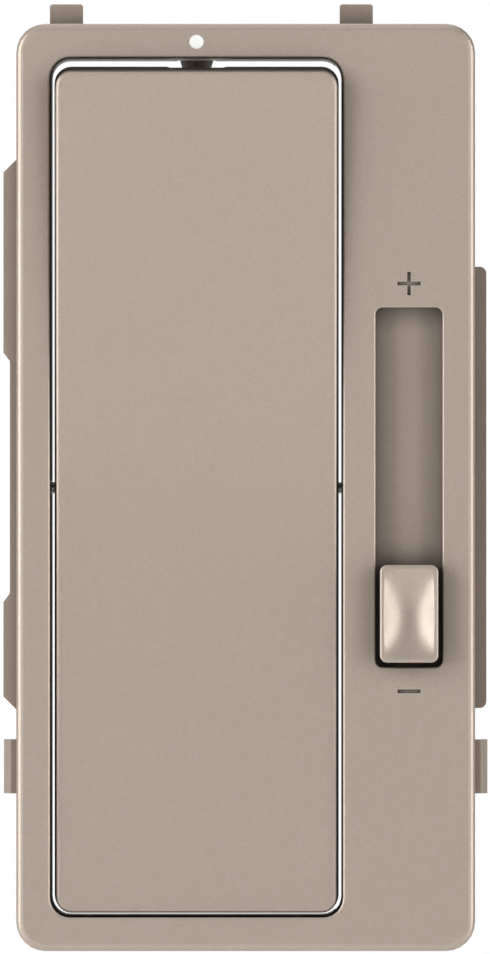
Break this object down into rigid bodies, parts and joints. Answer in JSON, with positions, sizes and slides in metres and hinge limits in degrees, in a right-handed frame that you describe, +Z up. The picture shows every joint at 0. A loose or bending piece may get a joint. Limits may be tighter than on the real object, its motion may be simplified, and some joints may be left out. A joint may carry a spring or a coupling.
{
  "type": "slide dimmer face cover",
  "caption": "Clip-on front of a decorator slide dimmer: painted frame, tilting rocker paddle, slider knob in a shuttered slot, indicator light pipe and rear latches.",
  "frame": {"origin": "centre of the frame's outline, on the plane of its rear edge, where the cover seats on the dimmer behind it", "axes": "+Z up the wall, -Y out of the wall towards the user, +X to the user's right"},
  "size_m": [0.0349, 0.0143, 0.0682],
  "materials": {
    "nickel_paint": "satin metallic nickel paint on moulded plastic",
    "dark_plastic": "moulded, thin overspray of the paint",
    "acetal": "black, as moulded",
    "rubber": "soft, matt",
    "steel": "bright plated",
    "acrylic": "milky, polished ends"
  },
  "bodies": {
    "cover_frame": {"face_frame": "nickel_paint", "slider_cover": "dark_plastic", "cover_screw_top_left": "steel", "cover_screw_top_right": "steel", "cover_screw_bottom_left": "steel", "cover_screw_bottom_right": "steel", "slider_stop_top": "rubber", "slider_stop_bottom": "rubber", "light_pipe": "acrylic", "light_pipe_hood": "dark_plastic"},
    "rocker": {"rocker_paddle": "nickel_paint", "rocker_cradle": "acetal", "pivot_pin_left": "steel", "pivot_pin_right": "steel", "actuator_tip_top": "rubber", "actuator_tip_bottom": "rubber"},
    "slider": {"slider_knob": "nickel_paint", "slider_shutter": "nickel_paint", "slider_carriage": "acetal", "slider_friction_spring": "steel", "knob_screw": "steel"}
  },
  "joints": [
    {"name": "rocker_pivot", "type": "hinge", "parent": "cover_frame", "child": "rocker", "pos_m": [-0.00354, -0.0029, 0], "axis": [1, 0, 0], "range_deg": [-3.8, 0]},
    {"name": "slider_slide", "type": "slide", "parent": "cover_frame", "child": "slider", "axis": [0, 0, 1], "range_m": [0, 0.01816]}
  ]
}
